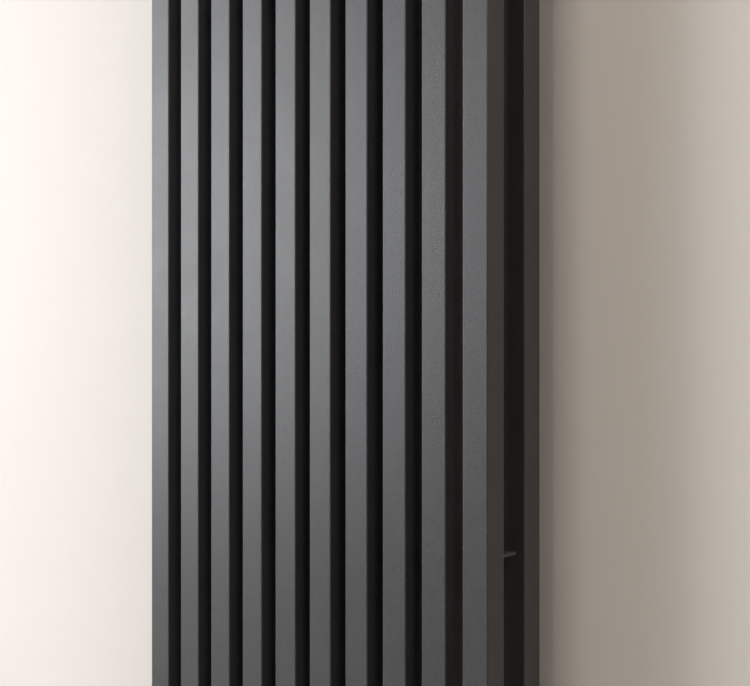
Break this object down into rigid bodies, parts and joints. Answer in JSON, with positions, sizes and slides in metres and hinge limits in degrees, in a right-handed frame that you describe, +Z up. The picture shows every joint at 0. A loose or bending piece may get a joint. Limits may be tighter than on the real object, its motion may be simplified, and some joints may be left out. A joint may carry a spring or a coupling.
{
  "type": "vertical radiator with valves",
  "caption": "Tall double-row radiator of square vertical bars with headers between the rows, wall brackets, an angled thermostatic valve, a lockshield valve, and a bleed valve.",
  "frame": {"origin": "centre of the four wall fixings, on the face of the wall, at mid height", "axes": "+Z up, +X to the right of someone facing the radiator, +Y into the wall; the front bars face -Y"},
  "size_m": [0.48, 0.167, 1.863],
  "materials": {
    "radiator_coat": "anthracite fine powder coat, satin",
    "valve_coat": "anthracite paint, satin",
    "brass": "turned",
    "zinc_plate": "bright zinc plate",
    "nickel_plate": "satin nickel plate",
    "spring_steel": "drawn wire",
    "rubber": "matt",
    "head_plastic": "fine moulded texture",
    "dial_marks": "pad printed",
    "end_disc": "spun"
  },
  "bodies": {
    "radiator": {"front_bar_01": "radiator_coat", "front_bar_02": "radiator_coat", "front_bar_03": "radiator_coat", "front_bar_04": "radiator_coat", "front_bar_05": "radiator_coat", "front_bar_06": "radiator_coat", "front_bar_07": "radiator_coat", "front_bar_08": "radiator_coat", "front_bar_09": "radiator_coat", "front_bar_10": "radiator_coat", "rear_bar_01": "radiator_coat", "rear_bar_02": "radiator_coat", "rear_bar_03": "radiator_coat", "rear_bar_04": "radiator_coat", "rear_bar_05": "radiator_coat", "rear_bar_06": "radiator_coat", "rear_bar_07": "radiator_coat", "rear_bar_08": "radiator_coat", "rear_bar_09": "radiator_coat", "rear_bar_10": "radiator_coat", "top_header": "radiator_coat", "bottom_header": "radiator_coat", "end_caps": "radiator_coat", "tapping_bosses": "radiator_coat", "tie_bars": "radiator_coat", "seals": "rubber", "bleed_plug": "nickel_plate", "blanking_plug": "nickel_plate", "wall_cups": "zinc_plate", "cup_grub_screws": "zinc_plate", "bracket_spindles": "zinc_plate", "rear_saddles": "zinc_plate", "clamp_plates": "zinc_plate", "clamp_bolts": "zinc_plate", "tail_pieces": "brass", "union_nuts": "valve_coat", "compression_nuts": "valve_coat", "olives": "brass", "thermostatic_body": "valve_coat", "thermostatic_insert": "brass", "insert_gland": "brass", "return_spring": "spring_steel", "head_collar_nut": "head_plastic", "head_base": "head_plastic", "lockshield_body": "valve_coat", "lockshield_insert": "brass"},
    "grip": {"head_grip": "head_plastic", "head_end_disc": "end_disc"},
    "thermostat": {"push_pin": "spring_steel", "plunger": "brass", "plunger_washer": "rubber", "sensor": "brass", "overtravel_spring": "spring_steel", "travel_nut": "head_plastic"},
    "balancing_spindle": {"lockshield_spindle": "brass"},
    "balancing_plug": {"lockshield_plug": "brass", "lockshield_washer": "rubber"},
    "cover_cap": {"lockshield_cap": "head_plastic"},
    "bleed_ring": {"bleed_seal": "rubber"},
    "bleed_needle": {"bleed_screw": "brass"}
  },
  "joints": [
    {"name": "thermostat_dial", "type": "hinge", "parent": "radiator", "child": "grip", "pos_m": [0.215, -0.079, -0.939], "axis": [0, 1, 0], "range_deg": [-120, 180]},
    {"name": "thermostat_pin", "type": "slide", "parent": "radiator", "child": "thermostat", "axis": [0, 1, 0], "range_m": [-0.00121, 0.00181], "deforming": ["return_spring"]},
    {"name": "lockshield_turn", "type": "hinge", "parent": "radiator", "child": "balancing_spindle", "pos_m": [-0.215, -0.079, -0.939], "axis": [0, 1, 0], "range_deg": [-451, 541]},
    {"name": "lockshield_lift", "type": "slide", "parent": "radiator", "child": "balancing_plug", "axis": [0, 1, 0], "range_m": [-0.00156, 0.00187]},
    {"name": "cap_pull", "type": "slide", "parent": "radiator", "child": "cover_cap", "axis": [0, -1, 0], "range_m": [0, 0.03]},
    {"name": "bleed_rise", "type": "slide", "parent": "radiator", "child": "bleed_ring", "axis": [0, 0, 1], "range_m": [0, 0.0015]},
    {"name": "bleed_turn", "type": "hinge", "parent": "bleed_ring", "child": "bleed_needle", "pos_m": [0.215, -0.079, 0.889], "axis": [0, 0, 1], "range_deg": [0, 541]}
  ],
  "couplings": [
    {"joint": "thermostat_pin", "follows": "thermostat_dial", "m_per_rad": 0.00057296},
    {"joint": "lockshield_turn", "follows": "lockshield_lift", "rad_per_m": 5026.5},
    {"joint": "bleed_turn", "follows": "bleed_rise", "rad_per_m": 6283.2}
  ]
}
